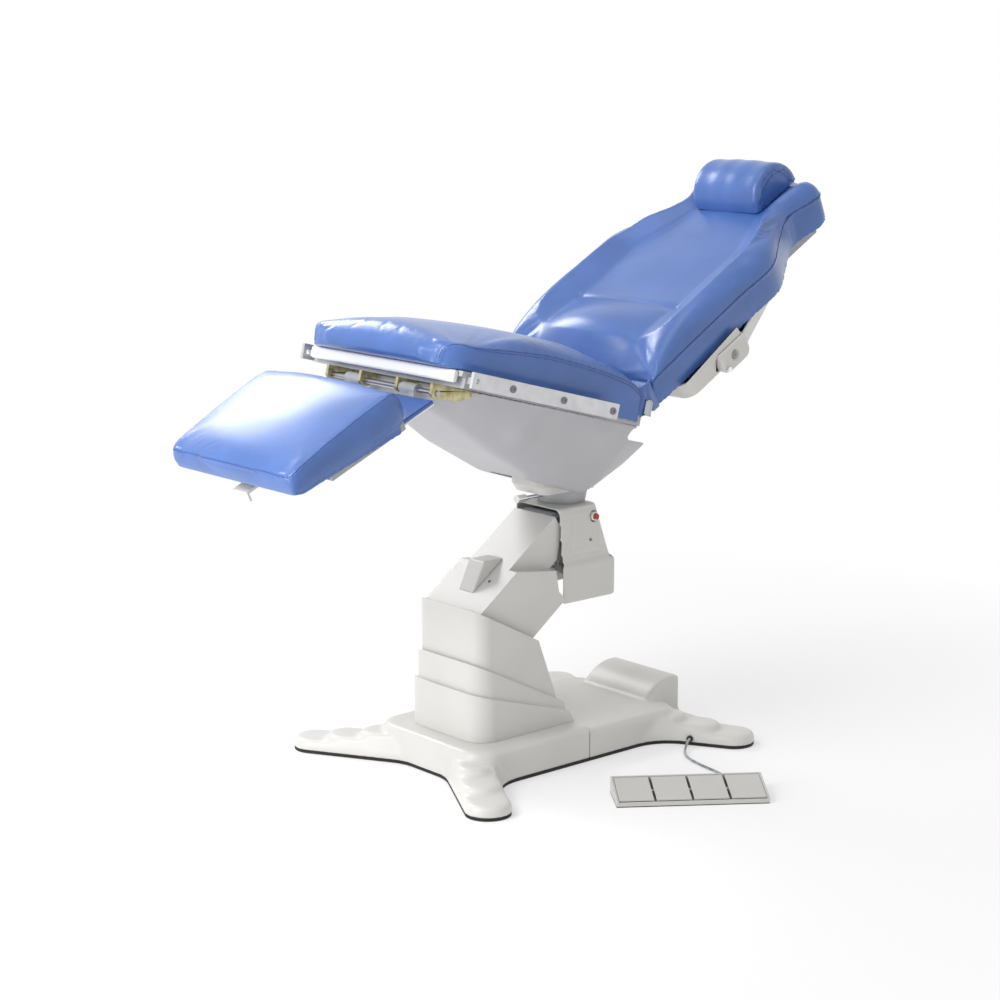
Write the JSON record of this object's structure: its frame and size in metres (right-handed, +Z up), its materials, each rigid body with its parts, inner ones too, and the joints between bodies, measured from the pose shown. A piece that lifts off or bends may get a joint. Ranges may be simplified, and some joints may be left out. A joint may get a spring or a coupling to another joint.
{
  "type": "examination chair",
  "caption": "Powered examination chair: padded seat, reclining back with head pillow and drop leg rest on a lifting arm, swivel and four-toed base, with a foot control on a cable.",
  "frame": {"origin": "on the floor at the middle of the base", "axes": "+X towards the head end, +Y to the far side, +Z up"},
  "size_m": [1.6822, 1.0257, 1.3493],
  "materials": {
    "seal": "matt black rubber",
    "shell": "moulded, light warm grey, satin",
    "frame_paint": "dark grey powder coat",
    "steel": "bright ground steel",
    "chromed": "polished chrome",
    "zinc": "yellow zinc plate",
    "rail": "satin anodised",
    "upholstery": "mid blue vinyl coated fabric over foam, satin",
    "board": "plywood",
    "white_board": "white laminate",
    "red": "red, glossy",
    "white": "white, glossy",
    "control_grey": "light grey moulded",
    "control_dark": "black rubber",
    "cable": "grey flexible sheath",
    "black": "black moulded"
  },
  "bodies": {
    "base": {"floor_seal": "seal", "base_plate": "frame_paint", "levelling_pads": "seal", "front_base_cover": "shell", "rear_base_cover": "shell", "pylon_cover": "shell", "pylon_frame": "frame_paint", "lower_main_shaft": "steel", "lower_tie_shaft": "steel", "power_unit": "black", "cable_gland": "black", "control_cord": "cable", "control_housing": "control_grey", "control_mat": "control_dark", "control_relief": "black", "pedal_axle": "steel"},
    "pedal_one": {"pedal_one": "control_grey"},
    "pedal_two": {"pedal_two": "control_grey"},
    "pedal_three": {"pedal_three": "control_grey"},
    "pedal_four": {"pedal_four": "control_grey"},
    "arm": {"lift_arm": "frame_paint", "arm_cover": "shell", "arm_cap": "shell"},
    "tie": {"tie_link": "frame_paint"},
    "head": {"head_frame": "frame_paint", "swivel_bearing": "steel", "head_cover": "shell", "upper_main_shaft": "steel", "upper_tie_shaft": "steel", "button_bezel": "white"},
    "stop_button": {"stop_button": "red"},
    "swivel": {"swivel_neck": "frame_paint", "saddle_cover": "shell", "tilt_bracket": "frame_paint", "tilt_shaft": "steel"},
    "swivel_lock": {"swivel_lock": "chromed"},
    "seat": {"seat_frame": "frame_paint", "seat_board": "board", "front_board": "white_board", "seat_cushion": "upholstery", "near_rail": "rail", "far_rail": "rail", "rail_spacers": "rail", "rail_screws": "steel", "leg_hinge_brackets": "zinc", "leg_hinge_rod": "steel", "back_hinge_pins": "steel", "seat_pan": "shell"},
    "back": {"back_frame": "frame_paint", "back_cushion": "upholstery", "back_shell": "shell", "armrest_sockets": "shell", "socket_bolts": "chromed"},
    "pillow": {"head_pillow": "upholstery"},
    "leg": {"leg_frame": "frame_paint", "leg_tongue": "upholstery"},
    "footpad": {"footpad_board": "frame_paint", "footpad_cushion": "upholstery"},
    "lever": {"release_lever": "black"}
  },
  "joints": [
    {"name": "lift", "type": "hinge", "parent": "base", "child": "arm", "pos_m": [-0.212, 0, 0.349], "axis": [0, -1, 0], "range_deg": [-44.5, 0]},
    {"name": "tie_swing", "type": "hinge", "parent": "base", "child": "tie", "pos_m": [-0.202, 0, 0.249], "axis": [0, -1, 0], "range_deg": [-44.5, 0]},
    {"name": "head_level", "type": "hinge", "parent": "arm", "child": "head", "pos_m": [0.05006, 0, 0.54291], "axis": [0, -1, 0], "range_deg": [0, 44.5]},
    {"name": "stop_press", "type": "slide", "parent": "head", "child": "stop_button", "axis": [0, 1, 0], "range_m": [0, 0.004], "stiffness_N_per_m": 600},
    {"name": "swivel_turn", "type": "hinge", "parent": "head", "child": "swivel", "pos_m": [0.112, 0, 0.59], "axis": [0, 0, 1], "range_deg": [-90, 90]},
    {"name": "lock_turn", "type": "hinge", "parent": "swivel", "child": "swivel_lock", "pos_m": [0, 0, 0.597], "axis": [1, 0, 0], "range_deg": [-60, 60]},
    {"name": "seat_tilt", "type": "hinge", "parent": "swivel", "child": "seat", "pos_m": [0.112, 0, 0.716], "axis": [0, 1, 0], "range_deg": [-15, 5]},
    {"name": "recline", "type": "hinge", "parent": "seat", "child": "back", "pos_m": [0.12718, 0, 0.83021], "axis": [0, -1, 0], "range_deg": [-45, 30]},
    {"name": "pillow_slide", "type": "slide", "parent": "back", "child": "pillow", "axis": [0.866, 0, 0.5], "range_m": [-0.06, 0]},
    {"name": "leg_fold", "type": "hinge", "parent": "seat", "child": "leg", "pos_m": [-0.41466, 0, 0.90603], "axis": [0, 1, 0], "range_deg": [-46, 39]},
    {"name": "leg_extend", "type": "slide", "parent": "leg", "child": "footpad", "axis": [-0.9135, 0, -0.4067], "range_m": [-0.05, 0.12]},
    {"name": "release", "type": "hinge", "parent": "footpad", "child": "lever", "pos_m": [-0.72874, 0, 0.74605], "axis": [0, 1, 0], "range_deg": [0, 12]},
    {"name": "pedal_one_rock", "type": "hinge", "parent": "base", "child": "pedal_one", "pos_m": [0.12311, -0.59147, 0.018], "axis": [-0.809, 0.5878, 0], "range_deg": [-3, 3], "stiffness_Nm_per_rad": 2},
    {"name": "pedal_two_rock", "type": "hinge", "parent": "base", "child": "pedal_two", "pos_m": [0.05677, -0.54327, 0.018], "axis": [-0.809, 0.5878, 0], "range_deg": [-3, 3], "stiffness_Nm_per_rad": 2},
    {"name": "pedal_three_rock", "type": "hinge", "parent": "base", "child": "pedal_three", "pos_m": [-0.00957, -0.49507, 0.018], "axis": [-0.809, 0.5878, 0], "range_deg": [-3, 3], "stiffness_Nm_per_rad": 2},
    {"name": "pedal_four_rock", "type": "hinge", "parent": "base", "child": "pedal_four", "pos_m": [-0.07591, -0.44687, 0.018], "axis": [-0.809, 0.5878, 0], "range_deg": [-3, 3], "stiffness_Nm_per_rad": 2}
  ],
  "couplings": [
    {"joint": "tie_swing", "follows": "lift", "ratio": 1},
    {"joint": "head_level", "follows": "lift", "ratio": -1}
  ]
}
